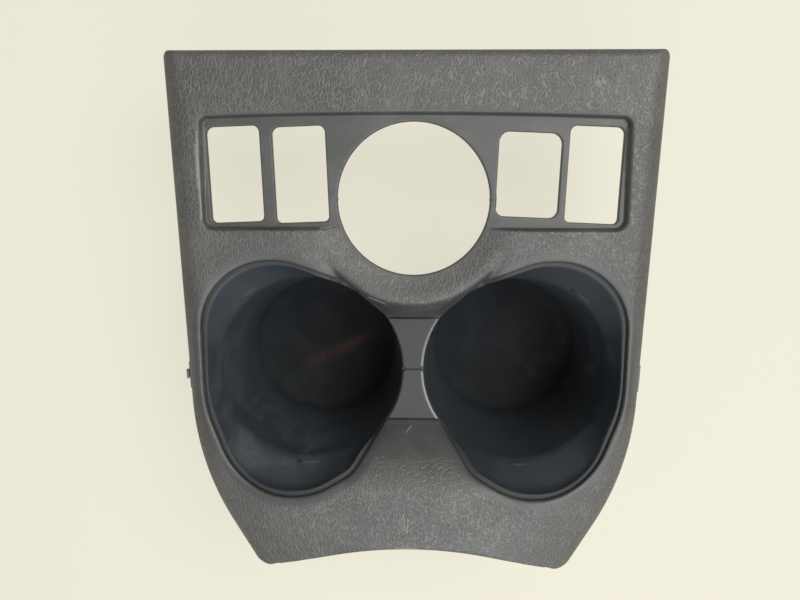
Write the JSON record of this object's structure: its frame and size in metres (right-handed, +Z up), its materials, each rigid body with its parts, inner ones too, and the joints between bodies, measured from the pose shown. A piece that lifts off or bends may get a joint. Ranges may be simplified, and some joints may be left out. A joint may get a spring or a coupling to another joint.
{
  "type": "console cup holder panel",
  "caption": "Grained centre console panel with a twin cup insert, a recessed switch field with rectangular openings and a round knob hole, and spring clips on its underside.",
  "frame": {"origin": "middle of the bounding box in X and Y, on the plane of the cup bases", "axes": "+X to the right, +Y towards the front edge with the switches, +Z up out of the cups"},
  "size_m": [0.1928, 0.2048, 0.0839],
  "materials": {
    "grained_plastic": "leather grained, matt, moulded",
    "dark_plastic": "fine matt, moulded",
    "spring_steel": "phosphated spring steel",
    "screw_steel": "zinc plated"
  },
  "bodies": {
    "root": {"bezel": "grained_plastic", "cup_insert": "dark_plastic", "clip_front_left": "spring_steel", "clip_front_right": "spring_steel", "clip_side_left": "spring_steel", "clip_side_right": "spring_steel", "clip_rear_left": "spring_steel", "clip_rear_right": "spring_steel", "screw_front_outer_left": "screw_steel", "screw_front_outer_right": "screw_steel", "screw_front_inner_left": "screw_steel", "screw_front_inner_right": "screw_steel", "screw_rear_left": "screw_steel", "screw_rear_right": "screw_steel"}
  },
  "joints": []
}
